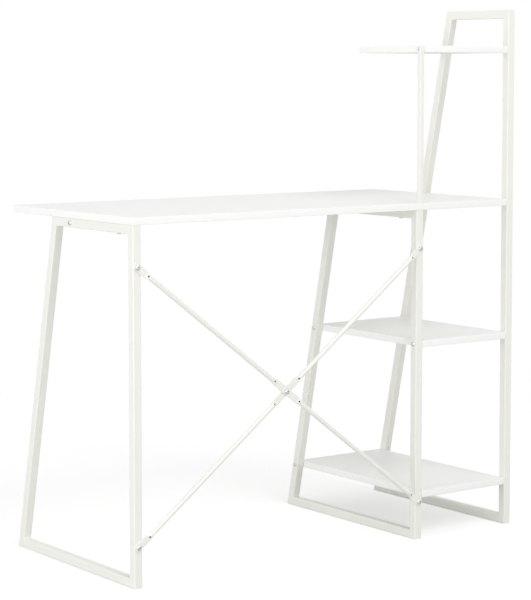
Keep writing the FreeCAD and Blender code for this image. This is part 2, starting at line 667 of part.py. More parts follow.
def sleeve(label, radius, bore, length):
    """A round nut along Z with its mouth on the origin, reaching down."""
    body = new_body(label)
    section = new_sketch(body, "Section", "XY_Plane")
    circles(section, radius, [("0", "0")])
    circles(section, bore, [("0", "0")])
    pad(body, section, length, reverse=True)
    return body


BRACE_BOLT = f"({LUG} + Sizes.rivet_length + Sizes.bolt_tip)"
board_screw = bolt("board_screw_master", "(Sizes.tube_size + Sizes.screw_grip)", "Sizes.screw_radius")
rail_bolt = bolt("rail_bolt_master", "(Sizes.tube_size + Sizes.rail_plug - Sizes.bolt_tip)")
desk_screw = bolt("desktop_screw_master", "(Sizes.tube_size + Sizes.insert_length - Sizes.bolt_tip)")
brace_bolt = bolt("brace_bolt_master", BRACE_BOLT)
centre_bolt = bolt("centre_bolt_master", f"(2 * {LUG} + Sizes.nut_height + Sizes.bolt_tip)")
post_screw = bolt("post_screw_master", "(Sizes.post_size + Sizes.screw_grip)",
                  "Sizes.screw_radius", "Sizes.post_head_radius", "Sizes.post_head_height")

insert = sleeve("insert_nut_master", "Sizes.insert_radius", THREAD_HOLE, "Sizes.insert_length")

rivet = sleeve("rivet_nut_master", "Sizes.insert_radius", THREAD_HOLE, "Sizes.rivet_length")
bulge = new_sketch(rivet, "Bulge", "XY_Plane", "-Sizes.tube_wall")
circles(bulge, "Sizes.rivet_bulge_radius", [("0", "0")])
circles(bulge, THREAD_HOLE, [("0", "0")])
pad(rivet, bulge, "Sizes.rivet_bulge", reverse=True)

plug = new_body("rail_plug_master")
plug_section = square(new_sketch(plug, "Section", "XY_Plane"), TUBE_BORE)
circles(plug_section, THREAD_HOLE, [("0", "0")])
pad(plug, plug_section, "Sizes.rail_plug", reverse=True)

nut = new_body("centre_nut_master")
nut_section = hexagon(new_sketch(nut, "Section", "XY_Plane"), "Sizes.nut_size")
circles(nut_section, THREAD_HOLE, [("0", "0")])
pad(nut, nut_section, "Sizes.nut_height", reverse=True)

# Turns that point a master's head along each direction
HEAD_LEFT = FreeCAD.Rotation(Vector(0, 1, 0), 90)
HEAD_RIGHT = FreeCAD.Rotation(Vector(0, 1, 0), -90)
HEAD_BACK = FreeCAD.Rotation(Vector(1, 0, 0), -90)
HEAD_DOWN = FreeCAD.Rotation(Vector(1, 0, 0), 180)


def group(label, master, seats):
    """All the fasteners of one kind, as one sub-part of separate solids."""
    links = []
    for turn, x, y, z in seats:
        link = doc.addObject("App::Link", f"{label}_seat")
        link.LinkedObject = master
        link.Placement = FreeCAD.Placement(Vector(), turn)
        place(link, x, y, z)
        links.append(link)
    joined = doc.addObject("Part::Compound", label)
    joined.Label = label
    joined.Links = links
    return joined


screw_seats = []
for name, (x, length, depth) in BOARDS.items():
    fixed_ends = [(TALL, -1, HEAD_RIGHT)]
    if name in ("bottom_shelf", "middle_shelf"):
        fixed_ends.append((LOW_MIDDLE, 1, HEAD_LEFT))
    for shape, sign, turn in fixed_ends:
        face = f"{x} + {sign} * ({length} / 2 + Sizes.tube_size)"
        screw_seats += [(turn, face, f"{BACK} + {y}", BOARD_MIDDLES[name]) for y in screw_places(shape, name)]
group("board_screws", board_screw, screw_seats)

group("rail_bolts", rail_bolt, [
    (HEAD_LEFT, f"{LEFT_X} + {HALF_TUBE}", RAIL_Y, RAIL_Z),
    (HEAD_RIGHT, f"{MIDDLE_X} - {HALF_TUBE}", RAIL_Y, RAIL_Z),
])
group("rail_end_plugs", plug, [
    (HEAD_LEFT, f"{LEFT_X} - {HALF_TUBE}", RAIL_Y, RAIL_Z),
    (HEAD_RIGHT, f"{MIDDLE_X} + {HALF_TUBE}", RAIL_Y, RAIL_Z),
])

anchor_seats = [(f"{DESKTOP_X} + {x}", f"{BACK} + {y}") for x, y in ANCHORS]
bar_underside = f"{LOW_HEIGHT} - Sizes.tube_size"
group("desktop_screws", desk_screw, [(HEAD_DOWN, x, y, bar_underside) for x, y in anchor_seats])
group("insert_nuts", insert, [(HEAD_DOWN, x, y, LOW_HEIGHT) for x, y in anchor_seats])

brace_ends = [(x, z) for x in (LEFT_X, MIDDLE_X) for z in (LOW_BOLT, HIGH_BOLT)]
group("brace_end_bolts", brace_bolt, [(HEAD_BACK, x, f"{BACK} + {LUG}", z) for x, z in brace_ends])
group("rivet_nuts", rivet, [(HEAD_BACK, x, BACK, z) for x, z in brace_ends])
cross_z = f"({LOW_BOLT} + {HIGH_BOLT}) / 2"
group("brace_centre_bolt", centre_bolt, [(HEAD_BACK, RAIL_X, f"{BACK} + 2 * {LUG}", cross_z)])
group("brace_centre_nut", nut, [(HEAD_BACK, RAIL_X, BACK, cross_z)])
post_face = f"{POST_X} + Sizes.post_size / 2"
group("post_screw", post_screw, [(HEAD_LEFT, post_face, f"{BACK} + {POST_Y}", BOARD_MIDDLES["top_shelf"])])

doc.recompute()

# Every object has to be sound before anything is written
for item in doc.Objects:
    if "Invalid" in item.State or "Error" in item.State:
        raise RuntimeError(f"{item.Label} failed: {item.State}")
masters = [item for item in doc.Objects if item.Label.endswith("_master")]
bodies = [item for item in doc.Objects if item.TypeId == "PartDesign::Body" and item not in masters]
bands = [item for item in doc.Objects if item.TypeId == "Part::Cut"]
groups = [item for item in doc.Objects if item.TypeId == "Part::Compound"
          and item.Links and item.Links[0].TypeId == "App::Link"]
os.makedirs("parts", exist_ok=True)
for item in bodies + bands + groups:
    shape = item.Shape
    if shape.isNull() or not shape.isValid() or not shape.Solids:
        raise RuntimeError(f"{item.Label} has no sound shape")
for item in bodies + bands + groups:
    item.Shape.exportStep(f"parts/{item.Label}.step")
    print(f"{item.Label:28s} {len(item.Shape.Solids):3d} {item.Shape.Volume:12.1f}")
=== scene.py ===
import math

import bmesh
import bpy
import numpy as np
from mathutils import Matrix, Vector


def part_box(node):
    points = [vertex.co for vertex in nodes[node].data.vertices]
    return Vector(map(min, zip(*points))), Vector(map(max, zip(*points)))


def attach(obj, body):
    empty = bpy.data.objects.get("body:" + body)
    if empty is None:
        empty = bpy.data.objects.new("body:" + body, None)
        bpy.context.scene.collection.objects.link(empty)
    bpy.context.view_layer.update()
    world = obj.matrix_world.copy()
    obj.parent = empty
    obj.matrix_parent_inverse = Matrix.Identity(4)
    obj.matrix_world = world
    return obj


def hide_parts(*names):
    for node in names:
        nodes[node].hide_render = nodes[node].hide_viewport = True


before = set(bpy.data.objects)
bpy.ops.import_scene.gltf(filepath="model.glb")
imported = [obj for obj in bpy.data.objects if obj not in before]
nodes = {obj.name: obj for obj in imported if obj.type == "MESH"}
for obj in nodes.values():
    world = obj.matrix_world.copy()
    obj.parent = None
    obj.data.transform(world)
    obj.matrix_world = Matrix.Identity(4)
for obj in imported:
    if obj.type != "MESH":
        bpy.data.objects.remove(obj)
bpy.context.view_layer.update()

scene = bpy.context.scene


# Camera: the desk is seen from the wall side, from beyond the end without the shelves,
# at about the height of the top shelf. The lens is long, so the legs look nearly parallel.
EYE = Vector((2.6626, 3.6030, 1.0329))
EYE_AZIMUTH = math.radians(143.683)
EYE_PITCH = math.radians(4.754)
LONG_SIDE_SENSOR = 36.0
LONG_SIDE_PIXELS = 600
FOCAL_PIXELS = 2032.9
AXIS_ROW = 240  # the picture's row that the lens axis meets

camera_data = bpy.data.cameras.new("camera")
camera_data.sensor_width = LONG_SIDE_SENSOR
camera_data.lens = FOCAL_PIXELS * LONG_SIDE_SENSOR / LONG_SIDE_PIXELS
camera_data.shift_y = -(LONG_SIDE_PIXELS / 2 - AXIS_ROW) / LONG_SIDE_PIXELS
camera = bpy.data.objects.new("camera", camera_data)
scene.collection.objects.link(camera)
looking = Vector((
    -math.sin(EYE_AZIMUTH) * math.cos(EYE_PITCH),
    math.cos(EYE_AZIMUTH) * math.cos(EYE_PITCH),
    -math.sin(EYE_PITCH),
))
camera.location = EYE
camera.rotation_mode = "QUATERNION"
camera.rotation_quaternion = looking.to_track_quat("-Z", "Y")
scene.camera = camera


# Side frames: three closed rings of square steel tube, mitred, welded and ground, then
# coated as one piece with off-white powder, which melts into a satin skin in the oven.
PAINT_LIGHT = "#F1F1EB"
PAINT_DARK = "#EEEEE7"
ORANGE_PEEL = 0.0022  # ripples that the melted powder keeps, about 2 mm apart
PAINT_GRAIN = 0.0005  # powder grains are nearer 0.05 mm, drawn coarser so that they show
PEEL_BUMP = {"Strength": 0.6, "Distance": 0.0003}
GRAIN_BUMP = {"Strength": 0.4, "Distance": 0.00006}
PAINT_CLOUD = 0.07  # the coat's thickness changes over about one pass of the spray gun
PAINT_ROUGHNESS = (0.46, 0.34)  # where the mottle is darkest and where it is lightest
PAINT_INDEX = 1.5


def linear(hex_colour):
    """A colour written as sRGB hex, as the linear values that a shader takes, by the curve of
    the sRGB standard."""
    channels = np.array([int(hex_colour[i:i + 2], 16) for i in (1, 3, 5)]) / 255
    low = channels / 12.92
    high = ((channels + 0.055) / 1.055) ** 2.4
    return (*np.where(channels <= 0.04045, low, high), 1.0)


def add_node(material, kind, settings=None, links=None):
    """One shader node, with its settings, input values and incoming links."""
    tree = material.node_tree
    node = tree.nodes.new(kind)
    for name, value in (settings or {}).items():
        if hasattr(node, name):
            setattr(node, name, value)
        else:
            node.inputs[name].default_value = value
    for name, source in (links or {}).items():
        tree.links.new(source, node.inputs[name])
    return node


def new_finish(name, surface):
    """A material that has only its main shader. Returns the material, the shader and the
    coordinates in metres for its patterns."""
    material = bpy.data.materials.new(name)
    material.use_nodes = True
    material.node_tree.nodes.clear()
    shader = add_node(material, "ShaderNodeBsdfPrincipled", surface)
    add_node(material, "ShaderNodeOutputMaterial", links={"Surface": shader.outputs[0]})
    place = add_node(material, "ShaderNodeTexCoord").outputs["Object"]
    return material, shader, place


def two_tones(material, shader, pattern, dark, light, roughness):
    """Lets one pattern sway the colour between two tones and the roughness between two values."""
    tone = add_node(material, "ShaderNodeMix", {"data_type": "RGBA"}, {"Factor": pattern})
    tone.inputs["A"].default_value = linear(dark)
    tone.inputs["B"].default_value = linear(light)
    gloss = add_node(material, "ShaderNodeMapRange", {"To Min": roughness[0], "To Max": roughness[1]},
                     {"Value": pattern})
    material.node_tree.links.new(tone.outputs["Result"], shader.inputs["Base Color"])
    material.node_tree.links.new(gloss.outputs["Result"], shader.inputs["Roughness"])


def powder_coat():
    """Polyester powder coat: orange peel that blurs reflections, a fine grain and a faint mottle."""
    material, shader, place = new_finish("powder_coated_steel", {"IOR": PAINT_INDEX})
    cloud = add_node(material, "ShaderNodeTexNoise", {"Scale": 1 / PAINT_CLOUD, "Detail": 3.0},
                     {"Vector": place})
    two_tones(material, shader, cloud.outputs["Fac"], PAINT_DARK, PAINT_LIGHT, PAINT_ROUGHNESS)
    peel = add_node(material, "ShaderNodeTexNoise", {"Scale": 1 / ORANGE_PEEL, "Detail": 2.0},
                    {"Vector": place})
    grain = add_node(material, "ShaderNodeTexNoise", {"Scale": 1 / PAINT_GRAIN, "Detail": 1.0},
                     {"Vector": place})
    low = add_node(material, "ShaderNodeBump", PEEL_BUMP, {"Height": peel.outputs["Fac"]})
    fine = add_node(material, "ShaderNodeBump", GRAIN_BUMP,
                    {"Height": grain.outputs["Fac"], "Normal": low.outputs["Normal"]})
    material.node_tree.links.new(fine.outputs["Normal"], shader.inputs["Normal"])
    return material


PAINT = powder_coat()


def finish_node(name, material):
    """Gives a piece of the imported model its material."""
    piece = nodes[name]
    piece.data.materials.clear()
    piece.data.materials.append(material)


for frame_name in ("left_frame", "middle_frame", "tall_frame"):
    for member in ("back_leg", "top_bar", "front_leg", "foot_bar"):
        finish_node(f"{frame_name}_{member}", PAINT)
finish_node("front_rail", PAINT)
finish_node("shelf_post", PAINT)


# Weld beads: every mitre is closed by arc welding. The grinder takes the bead off the outer
# faces, but a short rippled one stays in each inner corner of the rings, under the coat.
TUBE = 0.019
BACK = 0.23345  # the upright legs' outer face
FOOT_DEPTH = 0.470
FRAMES = {  # middle across the desk, height, lean of the front leg
    "left_frame": (0.5005, 0.730, 0.21644),
    "middle_frame": (-0.2335, 0.730, 0.21644),
    "tall_frame": (-0.5005, 1.170, 0.22308),
}
BEAD_HALF_LENGTH = 0.0082
BEAD_RADIUS = 0.0017
BEAD_RIPPLE = 0.12  # height of a ripple over the bead's radius
BEAD_PITCH = 0.0016
BEAD_END = 10  # a high power keeps the bead full almost to its ends
BEAD_STEPS = 40
BEAD_SIDES = 12
MERGE = 1e-6
CREASE = math.radians(38)  # a steeper edge between two faces stays sharp
EVERY_CELL = slice(None)


def build(name, grids, slot, stands_for, *materials):
    """One piece from grids of points, each with the number of its material and a table of the
    cells to keep. Four neighbouring points make a cell, which becomes a face, and points that
    meet are merged, which closes seams and poles."""
    points, faces, kinds, start = [], [], [], 0
    for grid, kind, keep in grids:
        rows, columns = grid.shape[:2]
        at = start + np.arange(rows * columns).reshape(rows, columns)
        corners = np.stack([at[:-1, :-1], at[:-1, 1:], at[1:, 1:], at[1:, :-1]], -1)
        corners = corners[keep].reshape(-1, 4)
        points.append(grid.reshape(-1, 3))
        faces.append(corners)
        kinds.append(np.full(len(corners), kind))
        start += rows * columns
    mesh = bpy.data.meshes.new(name)
    mesh.from_pydata(np.concatenate(points).tolist(), [], np.concatenate(faces).tolist())
    for material in materials:
        mesh.materials.append(material)
    mesh.polygons.foreach_set("material_index", np.concatenate(kinds).astype(np.int32))
    form = bmesh.new()
    form.from_mesh(mesh)
    bmesh.ops.remove_doubles(form, verts=form.verts, dist=MERGE)
    bmesh.ops.recalc_face_normals(form, faces=form.faces)
    form.to_mesh(mesh)
    form.free()
    mesh.shade_smooth()
    mesh.set_sharp_from_angle(angle=CREASE)
    piece = bpy.data.objects.new(name, mesh)
    scene.collection.objects.link(piece)
    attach(piece, "root")
    if stands_for:
        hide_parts(*stands_for)


def leg_front(height, lean):
    """The outer face of a leaning leg at a height: it starts at the foot bar's end and leans
    back by lean times the height."""
    return BACK - FOOT_DEPTH + lean * height


def bead(middle, y, z):
    """A round bead across the tube. At a share s of its half length its radius is that of the
    bead times the root of 1 - s to the power BEAD_END, so it falls to nothing at both ends, and
    the sine of the way along adds the ripples of the weld pool."""
    share = np.sin(np.linspace(-math.pi / 2, math.pi / 2, BEAD_STEPS + 1))[:, None]
    turn = np.linspace(0, 2 * math.pi, BEAD_SIDES + 1)[None]
    ripple = 1 + BEAD_RIPPLE * np.abs(np.sin(math.pi * share * BEAD_HALF_LENGTH / BEAD_PITCH))
    radius = BEAD_RADIUS * np.sqrt(np.clip(1 - share ** BEAD_END, 0, 1)) * ripple
    return np.stack(np.broadcast_arrays(middle + share * BEAD_HALF_LENGTH, y + radius * np.cos(turn),
                                        z + radius * np.sin(turn)), -1)


beads = []
for middle, height, lean in FRAMES.values():
    leg_depth = TUBE * math.hypot(1, lean)
    for z in (TUBE, height - TUBE):
        beads.append((bead(middle, BACK - TUBE, z), 0, EVERY_CELL))
        beads.append((bead(middle, leg_front(z, lean) + leg_depth, z), 0, EVERY_CELL))
build("frame_weld_beads", beads, "frame_paint", (), PAINT)


# Boards: chipboard pressed between two sheets of white melamine-soaked paper, whose faint
# pearl grain comes from the press plate. They hang between the frames on long screws.
BOARD_LIGHT = "#F7F7F5"
BOARD_DARK = "#F5F5F2"
PEARL_GRAIN = 0.0011  # the press plate's grain is about 0.3 mm, drawn coarser so that it shows
PEARL_BUMP = {"Strength": 0.5, "Distance": 0.00012}
BOARD_CLOUD = 0.11  # the paper takes up its resin a little unevenly, over about a hand's width
BOARD_ROUGHNESS = (0.5, 0.38)
MELAMINE_INDEX = 1.52
BOARDS = ("desktop", "bottom_shelf", "middle_shelf", "top_shelf")


def melamine():
    """White melamine paper: a low sheen broken by a fine pearl grain."""
    material, shader, place = new_finish("melamine_faced_chipboard", {"IOR": MELAMINE_INDEX})
    cloud = add_node(material, "ShaderNodeTexNoise", {"Scale": 1 / BOARD_CLOUD, "Detail": 4.0},
                     {"Vector": place})
    two_tones(material, shader, cloud.outputs["Fac"], BOARD_DARK, BOARD_LIGHT, BOARD_ROUGHNESS)
    pearl = add_node(material, "ShaderNodeTexVoronoi", {"Scale": 1 / PEARL_GRAIN}, {"Vector": place})
    bump = add_node(material, "ShaderNodeBump", PEARL_BUMP, {"Height": pearl.outputs["Distance"]})
    material.node_tree.links.new(bump.outputs["Normal"], shader.inputs["Normal"])
    return material


MELAMINE = melamine()
for name in BOARDS:
    finish_node(name, MELAMINE)


# Edge strips: 1 mm of white ABS, extruded, glued round each board's four sides with hot melt
# and scraped flush, which rounds its edges and leaves fine lines along it.
STRIP = 0.001
STRIP_EDGE = 0.0008  # radius of its scraped upper and lower edge
STRIP_CORNER = 0.0012  # radius round the board's corners
STRIP_LIGHT = "#F9F9F7"
STRIP_DARK = "#F7F7F4"
SCRAPE_LINES = 0.0007  # nicks in the scraper are nearer 0.1 mm, drawn coarser so that they show
SCRAPE_STRETCH = (0.02, 0.02, 1.0)  # the lines change fifty times more slowly along the strip
SCRAPE_BUMP = {"Strength": 0.4, "Distance": 0.00008}
STRIP_ROUGHNESS = (0.48, 0.36)
STRIP_INDEX = 1.53
CORNER_STEPS = 7


def abs_strip():
    """Extruded ABS: an even satin white with faint lines along the strip from the scraper."""
    material, shader, place = new_finish("abs_edge_strip", {"IOR": STRIP_INDEX})
    drawn = add_node(material, "ShaderNodeMapping", {"Scale": SCRAPE_STRETCH}, {"Vector": place})
    lines = add_node(material, "ShaderNodeTexNoise", {"Scale": 1 / SCRAPE_LINES, "Detail": 2.0},
                     {"Vector": drawn.outputs["Vector"]})
    two_tones(material, shader, lines.outputs["Fac"], STRIP_DARK, STRIP_LIGHT, STRIP_ROUGHNESS)
    bump = add_node(material, "ShaderNodeBump", SCRAPE_BUMP, {"Height": lines.outputs["Fac"]})
    material.node_tree.links.new(bump.outputs["Normal"], shader.inputs["Normal"])
    return material


def rounded_outline(half_x, half_y, corner):
    """A rectangle with round corners, anticlockwise and closed, as the middle of each point's
    quarter circle and the direction from there to the point."""
    turn = (np.arange(4)[:, None] + np.linspace(0, 1, CORNER_STEPS)) * math.pi / 2
    out = np.stack([np.cos(turn), np.sin(turn)], -1).reshape(-1, 2)
    signs = np.array([(1, 1), (-1, 1), (-1, -1), (1, -1)])
    middle = np.repeat(signs * (half_x - corner, half_y - corner), CORNER_STEPS, axis=0)
    closed = np.arange(len(out) + 1) % len(out)
    return middle[closed], out[closed]


def edge_strip(low, high):
    """The strip's section, a thin upright bar with two quarter circles on its outer side,
    carried round the board's outline: each section point keeps its own distance from it."""
    rise = np.linspace(0, math.pi / 2, CORNER_STEPS)
    height = high[2] - low[2]
    across = np.concatenate([STRIP_EDGE * (np.sin(rise) - 1), STRIP_EDGE * (np.cos(rise) - 1),
                             [-STRIP, -STRIP, -STRIP_EDGE]])
    upward = np.concatenate([STRIP_EDGE * (1 - np.cos(rise)), height - STRIP_EDGE * (1 - np.sin(rise)),
                             [height, 0, 0]])
    middle, out = rounded_outline((high[0] - low[0]) / 2, (high[1] - low[1]) / 2, STRIP_CORNER)
    flat = middle + (STRIP_CORNER + across[:, None, None]) * out
    grid = np.empty((*flat.shape[:2], 3))
    grid[..., :2] = flat + ((low[0] + high[0]) / 2, (low[1] + high[1]) / 2)
    grid[..., 2] = low[2] + upward[:, None]
    return grid


ABS = abs_strip()
for name in BOARDS:
    build(f"{name}_glued_strip", [(edge_strip(*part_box(f"{name}_edge_band")), 0, EVERY_CELL)],
          "edge_strip", (f"{name}_edge_band",), ABS)


# Post cap: a plug of moulded white polyethylene, pushed into the top of the thin square post,
# with a low dome that covers the cut edge. A plug of the same kind closes the foot.
CAP_DOME = 0.0009
CAP_STEPS = 8
CAP_SQUARENESS = 0.5  # power of the cosine in the dome's outline, 1 for an ellipse
CAP_INDEX = 1.51
POST_WALL = 0.0014
POST_CORNER = 0.0015
PLASTIC_LIGHT = "#F2F2EE"
PLASTIC_DARK = "#EFEFEB"
PLASTIC_CLOUD = 0.003  # flow marks of the moulding
PLASTIC_ROUGHNESS = (0.55, 0.45)
LIGHT_BLEED = {"Subsurface Weight": 0.08, "Subsurface Scale": 0.002}


def moulded_plastic():
    """Moulded polyethylene: waxy white with a soft, slightly cloudy gloss."""
    material, shader, place = new_finish("moulded_polyethylene", {"IOR": CAP_INDEX, **LIGHT_BLEED})
    cloud = add_node(material, "ShaderNodeTexNoise", {"Scale": 1 / PLASTIC_CLOUD, "Detail": 2.0},
                     {"Vector": place})
    two_tones(material, shader, cloud.outputs["Fac"], PLASTIC_DARK, PLASTIC_LIGHT, PLASTIC_ROUGHNESS)
    return material


def capped_plug(low, high, rim):
    """Shrunken copies of the post's outline, one over the other: a stem, a flange and a dome
    whose outline shrinks with the root of an angle's cosine while it rises with the sine."""
    half_x, half_y = (high[0] - low[0]) / 2, (high[1] - low[1]) / 2
    rise = np.linspace(0, math.pi / 2, CAP_STEPS + 1)
    stem = 1 - POST_WALL / half_x
    size = np.concatenate([[0, stem, stem, 1], np.cos(rise) ** CAP_SQUARENESS])
    height = np.concatenate([[low[2], low[2], rim, rim], high[2] - CAP_DOME * (1 - np.sin(rise))])
    middle, out = rounded_outline(half_x, half_y, POST_CORNER)
    centre = ((low[0] + high[0]) / 2, (low[1] + high[1]) / 2)
    flat = size[:, None, None] * (middle + POST_CORNER * out) + centre
    return np.concatenate([flat, np.broadcast_to(height[:, None, None], (*flat.shape[:2], 1))], -1)


PLASTIC = moulded_plastic()
post_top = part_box("shelf_post")[1][2]
build("post_top_plug", [(capped_plug(*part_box("post_cap"), post_top), 0, EVERY_CELL)],
      "white_plastic", ("post_cap",), PLASTIC)
finish_node("post_foot_plug", PLASTIC)


# Crossed braces: two 10 mm round steel tubes, pressed flat in a die at both ends and in the
# middle, sheared round at the ends, pierced for drainage, powder coated and bolted together.
BRACE_MIDDLE = np.array((0.1335, 0.23585, 0.365))
BRACE_RUN = 0.367  # from the middle to an end bolt, across the desk and upward
BRACE_RISE = 0.281
BRACE_REACH = math.hypot(BRACE_RUN, BRACE_RISE)
BRACE_RADIUS = 0.005
BRACE_WALL = 0.0012
FLAT_HALF_WIDTH = 0.0075
FLAT_SQUARENESS = 0.25  # power of the cosine in the flat's section, 1 for a circle
PRESS_RUN = 0.015  # length over which the tube changes from flat to round
MIDDLE_FLAT = 0.032  # from the middle to the flat's edge
END_FLAT = 0.023  # from an end bolt to the flat's edge
SHEAR_RADIUS = 0.0085
SHEAR_CELLS = 9
VENT_RADIUS = 0.002
VENT_FROM_MIDDLE = 0.040
VENT_FROM_END = 0.031
VENT_PATCH = 0.0032  # half the length of the patch of cells round a vent
VENT_HALF_TURN = math.pi / 6
VENT_CELLS = 8
VENT_RINGS = 4
ROUND_CELLS = 48
FLAT_CELLS = 6
FLAT_TO_VENT_CELLS = 6
VENT_TO_ROUND_CELLS = 5
ROUND_RUN_CELLS = 16
END_FLAT_CELLS = 8
STEEL_LIGHT = "#4B4A48"
STEEL_DARK = "#2E2D2C"
STEEL_ROUGHNESS = (0.7, 0.5)
OIL_CLOUD = 0.002  # thicker and thinner patches of the film


def bare_bore():
    """The uncoated inside of drawn tube: dull dark grey steel with a film of drawing oil."""
    material, shader, place = new_finish("bare_drawn_steel", {"Metallic": 0.8})
    cloud = add_node(material, "ShaderNodeTexNoise", {"Scale": 1 / OIL_CLOUD, "Detail": 3.0},
                     {"Vector": place})
    two_tones(material, shader, cloud.outputs["Fac"], STEEL_DARK, STEEL_LIGHT, STEEL_ROUGHNESS)
    return material


def stations(marks):
    """Places along a line, in equal steps between neighbouring marks (place, steps)."""
    runs = [np.linspace(a, b, steps, endpoint=False) for (a, _), (b, steps) in zip(marks, marks[1:])]
    return np.append(np.concatenate(runs), marks[-1][0])


def half_sizes(along, inset):
    """How far the tube is pressed at a place, from 0 for round to 1 for flat, and its half width
    and half depth less an inset. Over the press run the share p eases in and out as
    3 p^2 - 2 p^3. Pressed flat, the wall keeps its length, so the flat is about half a
    circumference wide. Beyond an end bolt a circle cuts the width off."""
    away = np.abs(along)
    press = np.clip(np.maximum((MIDDLE_FLAT + PRESS_RUN - away) / PRESS_RUN,
                               (away - BRACE_REACH + END_FLAT + PRESS_RUN) / PRESS_RUN), 0, 1)
    press = press ** 2 * (3 - 2 * press)
    sheared = np.sqrt(np.clip(SHEAR_RADIUS ** 2 - np.maximum(away - BRACE_REACH, 0) ** 2, 0, None))
    width = np.minimum(BRACE_RADIUS + (FLAT_HALF_WIDTH - BRACE_RADIUS) * press, sheared) - inset
    depth = BRACE_RADIUS + (BRACE_WALL - BRACE_RADIUS) * press - inset
    return press, width, depth


def brace_skin(along, turn, slope, side, inset):
    """A point of the tube's skin: across the tube it is the half width times the sine of the turn,
    and in depth the half depth times a power of the cosine, 1 where the tube is round and low
    where it is pressed. Ends are pressed toward the frames, the middle toward its own side."""
    press, width, depth = half_sizes(along, inset)
    power = 1 + (FLAT_SQUARENESS - 1) * press
    toward = np.where(np.abs(along) < BRACE_REACH / 2, side, -1)
    lift = toward * BRACE_WALL * press + depth * np.sign(np.cos(turn)) * np.abs(np.cos(turn)) ** power
    across = width * np.sin(turn)
    tilt = math.atan2(slope * BRACE_RISE, BRACE_RUN)
    x = along * math.cos(tilt) - across * math.sin(tilt)
    z = along * math.sin(tilt) + across * math.cos(tilt)
    return BRACE_MIDDLE + np.stack(np.broadcast_arrays(x, lift, z), -1)


def vent_loop(vent):
    """The edge of the patch of cells round a vent, as places along the tube and turns."""
    line = np.linspace(vent - VENT_PATCH, vent + VENT_PATCH, VENT_CELLS + 1)
    arc = np.linspace(-VENT_HALF_TURN, VENT_HALF_TURN, VENT_CELLS + 1)
    ones = np.ones(VENT_CELLS)
    along = np.concatenate([line[:-1], line[-1] * ones, line[:0:-1], line[0] * ones, line[:1]])
    turn = np.concatenate([arc[0] * ones, arc[:-1], arc[-1] * ones, arc[:0:-1], arc[:1]])
    return along, turn


def vent_rings(vent, share, slope, side, inset):
    """Rings that change from the patch's edge into the round hole: each point slides straight
    to the circle, and stays on the skin because its turn is worked out from its width again."""
    along, turn = vent_loop(vent)
    across = half_sizes(along, inset)[1] * np.sin(turn)
    far = np.hypot(along - vent, across)
    along = along + share[:, None] * ((VENT_RADIUS / far - 1) * (along - vent))
    across = across + share[:, None] * (VENT_RADIUS / far - 1) * across
    return brace_skin(along, np.arcsin(across / half_sizes(along, inset)[1]), slope, side, inset)


def brace(slope, side):
    """The coated outer skin, the bare bore of each round stretch, closed where it is pressed
    shut, and the four drain holes that join them."""
    end_vent = BRACE_REACH - VENT_FROM_END
    end_edge = BRACE_REACH - END_FLAT
    shear_start = math.sqrt(SHEAR_RADIUS ** 2 - FLAT_HALF_WIDTH ** 2)
    shear_turn = np.linspace(math.asin(shear_start / SHEAR_RADIUS), math.pi / 2, SHEAR_CELLS + 1)
    bore = stations([
        (MIDDLE_FLAT, 0), (VENT_FROM_MIDDLE - VENT_PATCH, FLAT_TO_VENT_CELLS),
        (VENT_FROM_MIDDLE + VENT_PATCH, VENT_CELLS), (MIDDLE_FLAT + PRESS_RUN, VENT_TO_ROUND_CELLS),
        (end_edge - PRESS_RUN, ROUND_RUN_CELLS), (end_vent - VENT_PATCH, VENT_TO_ROUND_CELLS),
        (end_vent + VENT_PATCH, VENT_CELLS), (end_edge, FLAT_TO_VENT_CELLS)])
    half = np.concatenate([
        stations([(0, 0), (MIDDLE_FLAT, FLAT_CELLS)])[:-1], bore,
        stations([(end_edge, 0), (BRACE_REACH + shear_start, END_FLAT_CELLS)])[1:-1],
        BRACE_REACH + SHEAR_RADIUS * np.sin(shear_turn)])
    around = np.linspace(-math.pi, math.pi, ROUND_CELLS + 1)
    vents = (-end_vent, -VENT_FROM_MIDDLE, VENT_FROM_MIDDLE, end_vent)
    grids = []
    for along, kind, inset in ((np.concatenate([-half[::-1], half[1:]]), 0, 0.0),
                               (bore, 1, BRACE_WALL), (-bore, 1, BRACE_WALL)):
        cell = (along[1:, None] + along[:-1, None]) / 2
        near = np.min([np.abs(cell - vent) for vent in vents], axis=0) < VENT_PATCH
        front = np.abs(around[1:] + around[:-1]) / 2 < VENT_HALF_TURN
        grids.append((brace_skin(along[:, None], around, slope, side, inset), kind, ~(near & front)))
    share = np.linspace(0, 1, VENT_RINGS + 1)
    for vent in vents:
        outer = vent_rings(vent, share, slope, side, 0.0)
        inner = vent_rings(vent, share, slope, side, BRACE_WALL)
        grids.append((outer, 0, EVERY_CELL))
        grids.append((inner, 1, EVERY_CELL))
        grids.append((np.stack([outer[-1], inner[-1]]), 0, EVERY_CELL))
    return grids


BORE = bare_bore()
build("outer_pressed_brace", brace(slope=1, side=1), "frame_paint", ("outer_brace",), PAINT, BORE)
build("inner_pressed_brace", brace(slope=-1, side=-1), "frame_paint", ("inner_brace",), PAINT, BORE)


